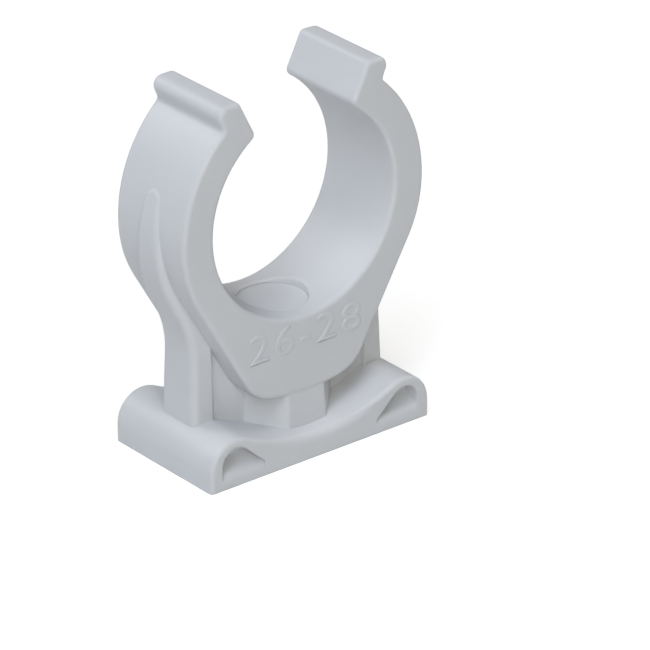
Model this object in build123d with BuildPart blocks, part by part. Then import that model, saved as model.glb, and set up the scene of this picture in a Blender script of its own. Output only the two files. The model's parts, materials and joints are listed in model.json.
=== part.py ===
from build123d import *
import math
import os

# Snap-in pipe clip, moulded in one piece from white plastic.
# X runs across the pipe, Y along the pipe and Z up from the wall that the clip is screwed to.
# The origin is the middle of the base's underside, and all sizes are in millimetres.

# Ring that grips the pipe
bore_radius = 13.0
bore_height = 29.8
ring_wall = 4.35
ring_drop = 0.15
ring_depth = 12.5
ring_edge_radius = 0.55

# Lips at the mouth, each with a lead-in face and a bead for the thumb
mouth_half_width = 6.8
lead_in_angle = 26.5
lip_rise = 4.75
lip_top_fall = 0.05
lip_nose_radius = 0.8
lip_corner_radius = 0.7
bead_width = 2.85
bead_radius = 1.15
bead_undercut_angle = 22.7
bead_groove_radius = 0.6

# Deep body below the bore, with flat flanks that cut a little into the ring's round
body_wall = 9.8
body_flank_angle = 30.0
body_flank_inset = 0.25
body_shoulder_radius = 15.0
body_corner_radius = 5.0

# Base with a rounded roll at each end and a trough between
base_width = 32.05
base_depth = 17.9
roll_radius = 3.7
roll_top_height = 5.9
trough_height = 3.0
base_edge_radius = 0.5

# Trough's ends at the front and back, rounded over by a cut that fades out on the rolls
trough_end_radius = 1.15
trough_end_sweep = 17.0

# Hollows in the ends of the rolls, each with a ramp for a floor that rounds out into the end face
pocket_wall = 1.05
pocket_hood_radius = 2.0
pocket_hood_slope = 42.0
pocket_floor_height = 1.0
pocket_depth = 2.0
pocket_ramp_angle = 36.0
pocket_ramp_radius = 1.2
pocket_corner_radius = 0.6

# Pedestal of two columns, a web and an eight-sided boss for the screw
column_face_draft_angle = 1.5
column_foot_half_width = 13.95
column_foot_depth = 6.5
column_thickness = 2.85
column_blend_share = 0.95
column_edge_radius = 0.9
web_draft_angle = 1.7
web_thickness = 5.4
web_overlap = 0.2
boss_draft_angle = 3.5
boss_flat_distance = 6.45
boss_sides = 8

# Gusset that carries each column up the outside of the ring and fades out there
gusset_proud = 0.5
gusset_drop = 1.0
gusset_root = 2.0
gusset_shoulder_depth = 5.4
gusset_shoulder_drop = 9.2
gusset_tip_radius = 1.75
gusset_rise = 5.6
gusset_blend_radius = 20.0

# Flat seat in the bottom of the bore, with the hole for a screw
seat_radius = 4.2
seat_depth = 0.25
seat_edge_bevel = 0.2
screw_hole_radius = 2.4

# Sizes that follow from those above
ring_outer_radius = bore_radius + ring_wall
ring_height = bore_height - ring_drop
bore_bottom_height = bore_height - bore_radius
body_bottom_radius = bore_radius + body_wall
body_bottom_height = bore_height - body_bottom_radius
base_half_width = base_width / 2
base_half_depth = base_depth / 2
roll_centre = (base_half_width - roll_radius, roll_top_height - roll_radius)
flank_distance = ring_outer_radius - body_flank_inset
flank_start_angle = math.degrees(math.acos(flank_distance / ring_outer_radius)) - body_flank_angle
flank_cos = math.cos(math.radians(body_flank_angle))
flank_sin = math.sin(math.radians(body_flank_angle))
gusset_radius = ring_outer_radius + gusset_proud
gusset_height = ring_height - gusset_drop


def on_circle(height, radius, angle):
    return (radius * math.cos(math.radians(angle)), height + radius * math.sin(math.radians(angle)))


# Half outline of the ring, its lip and the deep body, from the bore's bottom round to the underside
nose_angle = math.degrees(math.acos(mouth_half_width / bore_radius))
nose = on_circle(bore_height, bore_radius, nose_angle)
lip_corner = (nose[0] + lip_rise * math.tan(math.radians(lead_in_angle)), nose[1] + lip_rise)
bead_centre = (lip_corner[0] + bead_width - bead_radius, lip_corner[1] - lip_top_fall - bead_radius)
flank_start = on_circle(ring_height, ring_outer_radius, flank_start_angle)

with BuildPart() as ring_body:
    with BuildSketch(Plane.XZ) as ring_profile:
        with BuildLine():
            ring_circle = CenterArc((0, ring_height), ring_outer_radius, 0, 90, mode=Mode.PRIVATE)
            bottom_circle = CenterArc((0, bore_height), body_bottom_radius, -90, 90, mode=Mode.PRIVATE)
            CenterArc((0, bore_height), bore_radius, -90, 90 + nose_angle)
            Polyline(nose, lip_corner, (bead_centre[0], bead_centre[1] + bead_radius))
            bead = CenterArc(bead_centre, bead_radius, 90, -90 - bead_undercut_angle)
            undercut = IntersectingLine(bead @ 1, bead % 1, ring_circle)
            groove = undercut @ 1
            groove_angle = math.degrees(math.atan2(groove.Y - ring_height, groove.X))
            CenterArc((0, ring_height), ring_outer_radius, groove_angle, flank_start_angle - groove_angle)
            flank = IntersectingLine(flank_start, (-flank_sin, -flank_cos), bottom_circle)
            body_corner = flank @ 1
            body_corner_angle = math.degrees(math.atan2(body_corner.Y - bore_height, body_corner.X))
            CenterArc((0, bore_height), body_bottom_radius, body_corner_angle, -90 - body_corner_angle)
            Line((0, body_bottom_height), (0, bore_bottom_height))
        make_face()
        fillet(ring_profile.vertices().sort_by_distance(nose)[0], lip_nose_radius)
        fillet(ring_profile.vertices().sort_by_distance(lip_corner)[0], lip_corner_radius)
        fillet(ring_profile.vertices().sort_by_distance(groove)[0], bead_groove_radius)
        fillet(ring_profile.vertices().sort_by_distance(flank_start)[0], body_shoulder_radius)
        fillet(ring_profile.vertices().sort_by_distance(body_corner)[0], body_corner_radius)
        mirror(about=Plane.YZ)
    extrude(amount=ring_depth / 2, both=True)
    fillet(ring_body.faces().filter_by(Axis.Y).edges(), ring_edge_radius)

# Base: the trough is one arc that touches both rolls, so its radius follows from theirs
crest_reach = roll_centre[0]
trough_drop = trough_height - roll_centre[1]
trough_radius = (crest_reach**2 + trough_drop**2 - roll_radius**2) / (2 * (roll_radius - trough_drop))
trough_centre = (0, trough_height + trough_radius)
roll_end_angle = math.degrees(math.atan2(trough_centre[1] - roll_centre[1], -crest_reach))

with BuildPart() as base:
    with BuildSketch(Plane.XZ) as base_profile:
        with BuildLine():
            Polyline((0, trough_height), (0, 0), (base_half_width, 0), (base_half_width, roll_centre[1]))
            CenterArc(roll_centre, roll_radius, 0, roll_end_angle)
            CenterArc(trough_centre, trough_radius, roll_end_angle - 180, 90 - roll_end_angle)
        make_face()
        mirror(about=Plane.YZ)
    extrude(amount=base_half_depth, both=True)
    fillet(base.edges().filter_by(Axis.Z), base_edge_radius)

# Round-over of the trough's front end, turned about an axis above the middle of the trough
with BuildPart() as trough_end:
    with BuildSketch(Plane.YZ):
        with BuildLine():
            end_face = -base_half_depth
            end_start = (end_face + trough_end_radius, trough_height)
            CenterArc((end_start[0], trough_height - trough_end_radius), trough_end_radius, 90, 90)
            Polyline(
                (end_face, trough_height - trough_end_radius),
                (end_face - trough_end_radius, trough_height - trough_end_radius),
                (end_face - trough_end_radius, trough_height),
                end_start,
            )
        make_face()
    revolve(axis=Axis((0, 0, trough_height + trough_end_sweep), (0, 1, 0)))

# Hollow in one roll end: an arch seen from the front, cut down to a ramp seen from the side
hood_centre = (roll_centre[0], roll_top_height - pocket_wall - pocket_hood_radius)
pocket_back = -base_half_depth + pocket_depth

with BuildPart() as pocket_core:
    with BuildSketch(Plane.XZ.offset(-pocket_back)) as pocket_profile:
        with BuildLine():
            hood = CenterArc(hood_centre, pocket_hood_radius, 0, 90 + pocket_hood_slope)
            hood_end = hood @ 1
            slope_run = (hood_end.Y - pocket_floor_height) / math.tan(math.radians(pocket_hood_slope))
            Polyline(
                hood_end,
                (hood_end.X - slope_run, pocket_floor_height),
                (hood_centre[0] + pocket_hood_radius, pocket_floor_height),
                hood @ 0,
            )
        make_face()
        fillet(pocket_profile.vertices().group_by(Axis.Y)[0], pocket_corner_radius)
    extrude(amount=pocket_depth)
    with BuildSketch(Plane.YZ):
        with BuildLine():
            ramp_foot = (-base_half_depth + pocket_ramp_radius, pocket_floor_height)
            ramp_edge = CenterArc(ramp_foot, pocket_ramp_radius, 180, pocket_ramp_angle - 90)
            ramp_start = ramp_edge @ 1
            ramp_rise = (pocket_back - ramp_start.X) * math.tan(math.radians(pocket_ramp_angle))
            Polyline(
                ramp_start,
                (pocket_back, ramp_start.Y + ramp_rise),
                (pocket_back, roll_top_height),
                (-base_half_depth, roll_top_height),
                ramp_edge @ 0,
            )
        make_face()
    extrude(amount=base_half_width, mode=Mode.INTERSECT)

# Column with its gusset: the side view gives the flank, the front view the width up the ring
face_draft = math.tan(math.radians(column_face_draft_angle))
waist_height = (
    flank_cos * (column_foot_half_width + face_draft * roll_top_height)
    + flank_sin * gusset_height
    - gusset_radius
) / (face_draft * flank_cos + flank_sin)
waist = (column_foot_half_width - face_draft * (waist_height - roll_top_height), waist_height)
column_base = (column_foot_half_width + face_draft * (roll_top_height - trough_height), trough_height)
column_inner = column_foot_half_width - column_thickness
gusset_start = on_circle(gusset_height, gusset_radius, -body_flank_angle)
blend_half_turn = math.radians(body_flank_angle + column_face_draft_angle) / 2
column_blend_radius = column_blend_share * math.dist(waist, gusset_start) / math.tan(blend_half_turn)
web_top = ring_height - (flank_distance - (column_inner + web_overlap) * flank_cos) / flank_sin
gusset_top = ring_height + gusset_rise
gusset_inner_radius = ring_outer_radius - gusset_root
gusset_end_angle = math.degrees(math.asin((gusset_top - gusset_height) / gusset_radius))
inner_end_angle = math.degrees(math.asin((gusset_top - ring_height) / gusset_inner_radius))
gusset_sweep = body_flank_angle + gusset_end_angle
inner_sweep = -body_flank_angle - inner_end_angle

with BuildPart() as column:
    with BuildSketch(Plane.XZ) as column_profile:
        with BuildLine():
            Polyline(
                on_circle(ring_height, gusset_inner_radius, -body_flank_angle),
                (column_inner, web_top),
                (column_inner, trough_height),
                column_base,
                waist,
                gusset_start,
            )
            CenterArc((0, gusset_height), gusset_radius, -body_flank_angle, gusset_sweep)
            Line(
                on_circle(gusset_height, gusset_radius, gusset_end_angle),
                on_circle(ring_height, gusset_inner_radius, inner_end_angle),
            )
            CenterArc((0, ring_height), gusset_inner_radius, inner_end_angle, inner_sweep)
        make_face()
        fillet(column_profile.vertices().sort_by_distance(waist)[0], column_blend_radius)
    extrude(amount=column_foot_depth / 2, both=True)
    with BuildSketch(Plane.YZ) as gusset_profile:
        with BuildLine():
            shoulder = (gusset_shoulder_depth / 2, ring_height - gusset_shoulder_drop)
            tip_centre = (0, gusset_top - gusset_tip_radius)
            Polyline(
                (0, trough_height),
                (column_foot_depth / 2, trough_height),
                shoulder,
                (gusset_tip_radius, tip_centre[1]),
            )
            CenterArc(tip_centre, gusset_tip_radius, 0, 90)
            Line((0, gusset_top), (0, trough_height))
        make_face()
        fillet(gusset_profile.vertices().sort_by_distance(shoulder)[0], gusset_blend_radius)
        mirror(about=Plane.YZ)
    extrude(amount=gusset_radius, mode=Mode.INTERSECT)
    outer_edges = column.faces().filter_by(lambda face: face.normal_at().X > flank_sin).edges()
    side_edges = outer_edges.filter_by(lambda edge: abs(edge.center().Y) > gusset_tip_radius / 2)
    fillet(side_edges, column_edge_radius)

# The whole clip
web_root = trough_height / 2

with BuildPart() as clip_body:
    add(base.part)
    add(trough_end.part, mode=Mode.SUBTRACT)
    mirror(trough_end.part, about=Plane.XZ, mode=Mode.SUBTRACT)
    add(pocket_core.part, mode=Mode.SUBTRACT)
    mirror(pocket_core.part, about=Plane.YZ, mode=Mode.SUBTRACT)
    mirror(pocket_core.part, about=Plane.XZ, mode=Mode.SUBTRACT)
    mirror(pocket_core.part.mirror(Plane.YZ), about=Plane.XZ, mode=Mode.SUBTRACT)
    add(ring_body.part)
    add(column.part)
    mirror(column.part, about=Plane.YZ)
    with BuildSketch(Plane.XY.offset(web_root)):
        Rectangle(2 * column_inner + column_thickness, web_thickness)
    extrude(amount=web_top - web_root, taper=web_draft_angle)
    with BuildSketch(Plane.XY.offset(trough_height)):
        RegularPolygon(boss_flat_distance, boss_sides, major_radius=False, rotation=180 / boss_sides)
    extrude(amount=web_top - trough_height, taper=boss_draft_angle)
    with Locations((0, 0, bore_height)):
        CounterBoreHole(screw_hole_radius, seat_radius, bore_radius + seat_depth, bore_height)
    chamfer(clip_body.edges(Select.LAST).sort_by(Axis.Z)[-1], seat_edge_bevel)

clip_body.part.label = "clip_body"
os.makedirs("parts", exist_ok=True)
export_step(clip_body.part, "parts/clip_body.step")
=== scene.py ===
import json
import math

import bmesh
import bpy
from mathutils import Matrix, Vector


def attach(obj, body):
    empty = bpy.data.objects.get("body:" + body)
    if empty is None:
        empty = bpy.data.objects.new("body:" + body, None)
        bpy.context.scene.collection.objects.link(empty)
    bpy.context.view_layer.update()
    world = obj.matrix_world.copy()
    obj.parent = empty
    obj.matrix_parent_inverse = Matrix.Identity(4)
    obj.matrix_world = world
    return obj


# Snap-in pipe clip, moulded in one piece from white plastic. Lengths are in metres.
# The moulding comes from the frame. Here it gets its surface, the floor of its seat, its raised pipe sizes,
# light and camera.
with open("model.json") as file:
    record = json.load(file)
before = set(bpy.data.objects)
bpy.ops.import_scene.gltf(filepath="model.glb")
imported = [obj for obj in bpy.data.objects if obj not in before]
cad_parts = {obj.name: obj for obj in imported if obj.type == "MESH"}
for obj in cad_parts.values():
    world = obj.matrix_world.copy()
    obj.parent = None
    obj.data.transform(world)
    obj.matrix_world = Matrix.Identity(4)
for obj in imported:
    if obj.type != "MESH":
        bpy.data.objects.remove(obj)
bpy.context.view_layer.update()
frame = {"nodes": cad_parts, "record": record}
scene = bpy.context.scene
print("frame loaded:", ", ".join(sorted(frame["nodes"])))

# Places that the other pieces line up with, from the frame
clip = frame["nodes"]["clip_body"]
mounts = {mount["name"]: mount for mount in frame["record"]["mounts"]}
boreHeight = mounts["pipe_seat"]["pos_m"][2]
bossHole = mounts["screw_hole"]
millimetre = 0.001
seatHeight = bossHole["pos_m"][2] + bossHole["dims"]["length_mm"] * millimetre / 2
frontFace = min(point.co.y for point in clip.data.vertices if point.co.z > boreHeight)

pureWhite = (1.0, 1.0, 1.0, 1.0)


def addNode(tree, kind, place, **inputs):
    node = tree.nodes.new(kind)
    node.location = place
    for name, value in inputs.items():
        node.inputs[name.replace("_", " ")].default_value = value
    return node


def addMath(tree, operation, place, second=None):
    node = addNode(tree, "ShaderNodeMath", place)
    node.operation = operation
    if second is not None:
        node.inputs[1].default_value = second
    return node


def addPiece(name, mesh, surface):
    mesh.materials.clear()
    mesh.materials.append(surface)
    piece = bpy.data.objects.new(name, mesh)
    scene.collection.objects.link(piece)
    return piece


# Moulded surface, as a group: the satin grain left by the mould, slow flow waves, and a faint drift in the
# white and the gloss
skinPattern = {
    "grain": {"Detail": 3.0, "Roughness": 0.55},
    "waves": {"Detail": 2.0, "Roughness": 0.4},
    "cloud": {"Detail": 3.0, "Roughness": 0.5},
    "cloudScale": 0.55,        # the white drifts more slowly than the waves
    "middle": 0.5,             # a noise swings about this value
}

# Inputs of the group, each with the plastic's setting that fills it
skinInputs = {
    "Grain Size": "grainSize",
    "Wave Size": "waveSize",
    "Wave Share": "waveShare",
    "Tone Drift": "toneDrift",
    "Gloss Drift": "glossDrift",
}


def makeMouldedSkin(look):
    group = bpy.data.node_groups.new("mouldedSkin", "ShaderNodeTree")
    face = group.interface
    face.new_socket("Position", in_out="INPUT", socket_type="NodeSocketVector")
    for name in skinInputs:
        face.new_socket(name, in_out="INPUT", socket_type="NodeSocketFloat")
    for name in ("Height", "Tone", "Gloss"):
        face.new_socket(name, in_out="OUTPUT", socket_type="NodeSocketFloat")
    link = group.links.new
    start = addNode(group, "NodeGroupInput", (-1000, 0))
    end = addNode(group, "NodeGroupOutput", (200, 0))
    grain = addNode(group, "ShaderNodeTexNoise", (-600, 260), **look["grain"])
    waves = addNode(group, "ShaderNodeTexNoise", (-600, 0), **look["waves"])
    cloud = addNode(group, "ShaderNodeTexNoise", (-600, -260), **look["cloud"])
    cloudSize = addMath(group, "MULTIPLY", (-800, -300), look["cloudScale"])
    link(start.outputs["Wave Size"], cloudSize.inputs[0])
    for texture in (grain, waves, cloud):
        link(start.outputs["Position"], texture.inputs["Vector"])
    link(start.outputs["Grain Size"], grain.inputs["Scale"])
    link(start.outputs["Wave Size"], waves.inputs["Scale"])
    link(cloudSize.outputs[0], cloud.inputs["Scale"])
    height = addNode(group, "ShaderNodeMix", (-300, 160))
    link(start.outputs["Wave Share"], height.inputs["Factor"])
    link(grain.outputs["Fac"], height.inputs["A"])
    link(waves.outputs["Fac"], height.inputs["B"])
    link(height.outputs["Result"], end.inputs["Height"])
    drifts = ((cloud, "Tone Drift", "Tone", -120), (waves, "Gloss Drift", "Gloss", -380))
    for source, amount, output, row in drifts:
        swing = addMath(group, "SUBTRACT", (-300, row), look["middle"])
        drift = addMath(group, "MULTIPLY", (-100, row))
        link(source.outputs["Fac"], swing.inputs[0])
        link(swing.outputs[0], drift.inputs[0])
        link(start.outputs[amount], drift.inputs[1])
        link(drift.outputs[0], end.inputs[output])
    return group


mouldedSkin = makeMouldedSkin(skinPattern)

whitePlastic = {
    "colour": (0.68, 0.69, 0.71),
    "roughness": 0.46,
    "refraction": 1.49,
    "grainSize": 5200.0,       # per metre, about a fifth of a millimetre a grain
    "waveSize": 260.0,         # per metre, about 4 mm a wave
    "waveShare": 0.6,
    "toneDrift": 0.05,
    "glossDrift": 0.12,
    "bumpDistance": 0.00006,
    "bumpStrength": 0.35,
    "edgeSoftness": 0.00035,   # how far the mould's worn edges read as rounded
    "edgeSamples": 6,
    "glow": 0.12,              # light that spreads under the skin of white plastic
    "glowRadius": (1.0, 0.9, 0.8),
    "glowScale": 0.0012,
}


def makePlastic(name, look):
    material = bpy.data.materials.new(name)
    material.use_nodes = True
    tree = material.node_tree
    link = tree.links.new
    shader = tree.nodes["Principled BSDF"]
    shader.inputs["IOR"].default_value = look["refraction"]
    shader.inputs["Subsurface Weight"].default_value = look["glow"]
    shader.inputs["Subsurface Radius"].default_value = look["glowRadius"]
    shader.inputs["Subsurface Scale"].default_value = look["glowScale"]
    place = addNode(tree, "ShaderNodeTexCoord", (-1100, 0))
    skin = addNode(tree, "ShaderNodeGroup", (-860, 0))
    skin.node_tree = mouldedSkin
    for socket, setting in skinInputs.items():
        skin.inputs[socket].default_value = look[setting]
    link(place.outputs["Object"], skin.inputs["Position"])

    # the drift moves the white up and down about its colour, and the gloss about its roughness
    bright = addMath(tree, "ADD", (-620, 180), 1.0)
    tone = addNode(tree, "ShaderNodeHueSaturation", (-420, 180), Color=(*look["colour"], 1.0))
    gloss = addMath(tree, "ADD", (-420, -40), look["roughness"])
    link(skin.outputs["Tone"], bright.inputs[0])
    link(bright.outputs[0], tone.inputs["Value"])
    link(tone.outputs["Color"], shader.inputs["Base Color"])
    link(skin.outputs["Gloss"], gloss.inputs[0])
    link(gloss.outputs[0], shader.inputs["Roughness"])

    # the grain lies on edges that are shaded as rounded
    edge = addNode(tree, "ShaderNodeBevel", (-640, -420), Radius=look["edgeSoftness"])
    edge.samples = look["edgeSamples"]
    bump = addNode(
        tree,
        "ShaderNodeBump",
        (-420, -260),
        Strength=look["bumpStrength"],
        Distance=look["bumpDistance"],
    )
    link(skin.outputs["Height"], bump.inputs["Height"])
    link(edge.outputs["Normal"], bump.inputs["Normal"])
    link(bump.outputs["Normal"], shader.inputs["Normal"])
    return material


clipPlastic = makePlastic("whiteMouldedPlastic", whitePlastic)
strokePlastic = makePlastic("whiteMouldedStrokes", {**whitePlastic, "edgeSoftness": 0.0})
for surface in clip.material_slots:
    surface.material = clipPlastic
print("clip surfaced")

# Floor of the round seat under the pipe: a web let into the seat, over the hole down through the boss
seatFloor = {
    "radius": 0.00419,         # just inside the seat's wall
    "rise": 0.000015,          # above the seat's own floor, which the web covers
    "thickness": 0.0016,
    "around": 96,
}


def makeSeatFloor(name, look):
    centre = (0.0, 0.0, seatHeight + look["rise"] - look["thickness"] / 2)
    form = bmesh.new()
    bmesh.ops.create_cone(
        form,
        cap_ends=True,
        segments=look["around"],
        radius1=look["radius"],
        radius2=look["radius"],
        depth=look["thickness"],
    )
    bmesh.ops.translate(form, verts=form.verts, vec=centre)
    mesh = bpy.data.meshes.new(name)
    form.to_mesh(mesh)
    form.free()
    return addPiece(name, mesh, clipPlastic)


seatWeb = makeSeatFloor("seat_floor", seatFloor)
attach(seatWeb, "root")
print("seat floor closed")

# Pipe sizes, raised on the front of the deep body as plain numbers with low, rounded strokes
pipeSizes = {
    "words": "26-28",
    "left": -0.0081,
    "right": 0.0080,
    "baseline": 0.0127,
    "digitHeight": 0.0036,
    "spacing": 1.15,           # from digit to digit, as a share of the font's own step
    "curveSteps": 6,
    "slope": 0.00021,          # how far the side of a stroke leans out
    "slopeSteps": 4,
    "thinning": 0.0001,        # taken off each side of a stroke before its slope is added
    "depth": 0.00017,          # from the middle plane of a stroke to its top
    "sink": 0.0001,            # from the front face in to the middle plane
    "mergeWithin": 0.0000001,
}


def makePipeSizes(name, look):
    curve = bpy.data.curves.new(name + "Line", "FONT")
    curve.body = look["words"]
    curve.size = 1.0
    curve.space_character = look["spacing"]
    curve.resolution_u = look["curveSteps"]
    line = bpy.data.objects.new(name + "Line", curve)
    scene.collection.objects.link(line)

    # the plain outline is measured first, and gives the scales
    bpy.context.view_layer.update()
    flat = bpy.data.meshes.new_from_object(line)
    xs = [point.co.x for point in flat.vertices]
    ys = [point.co.y for point in flat.vertices]
    across = (look["right"] - look["left"]) / (max(xs) - min(xs))
    upward = look["digitHeight"] / (max(ys) - min(ys))
    outward = upward * look["depth"] / look["slope"]
    corner = (look["left"] - min(xs) * across, frontFace + look["sink"], look["baseline"] - min(ys) * upward)

    curve.bevel_depth = look["slope"] / upward
    curve.bevel_resolution = look["slopeSteps"]
    curve.offset = -look["thinning"] / upward
    bpy.context.view_layer.update()
    mesh = bpy.data.meshes.new_from_object(line)
    mesh.name = name
    bpy.data.objects.remove(line)
    bpy.data.meshes.remove(flat)

    size = Matrix.Diagonal((across, upward, outward, 1.0))
    turn = Matrix.Rotation(math.radians(90), 4, "X")
    move = Matrix.Translation(corner)
    mesh.transform(move @ turn @ size)
    form = bmesh.new()
    form.from_mesh(mesh)
    bmesh.ops.remove_doubles(form, verts=form.verts, dist=look["mergeWithin"])
    bmesh.ops.recalc_face_normals(form, faces=form.faces)
    for face in form.faces:
        face.smooth = True
    form.to_mesh(mesh)
    form.free()
    return addPiece(name, mesh, strokePlastic)


raisedSizes = makePipeSizes("raised_pipe_sizes", pipeSizes)
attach(raisedSizes, "root")
print("pipe sizes raised:", len(raisedSizes.data.polygons), "faces")

# Pale floor that reads as white to the camera but keeps the clip's shadow, and fades to white further out
studioFloor = {
    "half": 2.5,
    "colour": (0.80, 0.80, 0.80),
    "roughness": 0.9,
    "shine": 0.0,
    "toWhite": 0.44,           # light added near the clip, for the camera alone
    "farWhite": 1.0,
    "fadeFrom": 0.10,
    "fadeTo": 0.30,
}


def makePaleFloor(look):
    material = bpy.data.materials.new("paleFloor")
    material.use_nodes = True
    tree = material.node_tree
    link = tree.links.new
    shader = tree.nodes["Principled BSDF"]
    shader.inputs["Base Color"].default_value = (*look["colour"], 1.0)
    shader.inputs["Roughness"].default_value = look["roughness"]
    shader.inputs["Specular IOR Level"].default_value = look["shine"]
    shader.inputs["Emission Color"].default_value = pureWhite
    place = addNode(tree, "ShaderNodeTexCoord", (-1100, -360))
    reach = addNode(tree, "ShaderNodeVectorMath", (-880, -360))
    reach.operation = "LENGTH"
    fade = addNode(
        tree,
        "ShaderNodeMapRange",
        (-660, -360),
        From_Min=look["fadeFrom"],
        From_Max=look["fadeTo"],
        To_Min=look["toWhite"],
        To_Max=look["farWhite"],
    )
    fade.interpolation_type = "SMOOTHSTEP"
    ray = addNode(tree, "ShaderNodeLightPath", (-660, -60))
    lift = addMath(tree, "MULTIPLY", (-300, -200))
    link(place.outputs["Object"], reach.inputs[0])
    link(reach.outputs["Value"], fade.inputs["Value"])
    link(ray.outputs["Is Camera Ray"], lift.inputs[0])
    link(fade.outputs["Result"], lift.inputs[1])
    link(lift.outputs[0], shader.inputs["Emission Strength"])
    return material


def makeFloor(look):
    form = bmesh.new()
    bmesh.ops.create_grid(form, x_segments=1, y_segments=1, size=look["half"])
    mesh = bpy.data.meshes.new("floor")
    form.to_mesh(mesh)
    form.free()
    return addPiece("floor", mesh, makePaleFloor(look))


makeFloor(studioFloor)

# Soft studio light: broad lamps high on the left and overhead, weaker ones in front, behind and on the right
studioLight = {
    "lampSize": 0.5,
    "lamps": {
        "keyLamp": {"place": (-0.55, -0.35, 0.75), "power": 3.2, "tint": (0.76, 0.87, 1.0)},
        "topLamp": {"place": (-0.15, -0.15, 0.95), "power": 2.8, "tint": (0.95, 0.96, 1.0)},
        "frontLamp": {"place": (-0.45, -0.75, 0.45), "power": 2.75, "tint": (1.0, 0.96, 0.87)},
        "rearLamp": {"place": (-0.3, 0.8, 0.5), "power": 2.5, "tint": (0.95, 0.97, 1.0)},
        "rightLamp": {"place": (0.8, 0.1, 0.5), "power": 2.2, "tint": (1.0, 0.94, 0.84)},
    },
    "aim": (0.0, 0.0, 0.022),
    "surround": 0.01,          # light from all round
    "backdrop": 1.0,           # what the camera sees of it
}


def makeSurround(look):
    world = bpy.data.worlds.new("paleSurround")
    scene.world = world
    world.use_nodes = True
    tree = world.node_tree
    ground = tree.nodes["Background"]
    ground.inputs["Color"].default_value = pureWhite
    ray = addNode(tree, "ShaderNodeLightPath", (-600, 0))
    strength = addNode(tree, "ShaderNodeMix", (-300, 0), A=look["surround"], B=look["backdrop"])
    tree.links.new(ray.outputs["Is Camera Ray"], strength.inputs["Factor"])
    tree.links.new(strength.outputs["Result"], ground.inputs["Strength"])


def makeLamps(look):
    for name, lamp in look["lamps"].items():
        data = bpy.data.lights.new(name, "AREA")
        data.shape = "DISK"
        data.size = look["lampSize"]
        data.energy = lamp["power"]
        data.color = lamp["tint"]
        light = bpy.data.objects.new(name, data)
        light.location = lamp["place"]
        towards = Vector(look["aim"]) - light.location
        light.rotation_euler = towards.to_track_quat("-Z", "Y").to_euler()
        scene.collection.objects.link(light)


makeSurround(studioLight)
makeLamps(studioLight)

# Camera as fitted to the photograph: a long lens, high on the left of the front
viewpoint = {
    "azimuth": -38.883,        # degrees, from the front
    "elevation": 26.002,
    "roll": -0.195,
    "distance": 0.625891,
    "aim": (0.0, 0.0, 0.025),
    "across": 0.006087,        # the camera stands this far right of its aim and below it
    "down": 0.010652,
    "lens": 304.36,            # millimetres, with the sensor
    "sensor": 36.0,
    "nearest": 0.01,
    "furthest": 20.0,
}


def makeCamera(look):
    azimuth, elevation, roll = (math.radians(look[key]) for key in ("azimuth", "elevation", "roll"))
    back = Vector((
        math.sin(azimuth) * math.cos(elevation),
        -math.cos(azimuth) * math.cos(elevation),
        math.sin(elevation),
    ))
    level = Vector((math.cos(azimuth), math.sin(azimuth), 0.0))
    rise = back.cross(level)
    right = level * math.cos(roll) + rise * math.sin(roll)
    up = rise * math.cos(roll) - level * math.sin(roll)
    turn = Matrix((right, up, back)).transposed().to_4x4()
    place = Vector(look["aim"]) + right * look["across"] - up * look["down"] + back * look["distance"]
    data = bpy.data.cameras.new("photoCamera")
    data.sensor_fit = "HORIZONTAL"
    data.sensor_width = look["sensor"]
    data.lens = look["lens"]
    data.clip_start = look["nearest"]
    data.clip_end = look["furthest"]
    camera = bpy.data.objects.new("photoCamera", data)
    camera.matrix_world = Matrix.Translation(place) @ turn
    scene.collection.objects.link(camera)
    scene.camera = camera


makeCamera(viewpoint)
scene.view_settings.view_transform = "Standard"
print("floor, light and camera set")
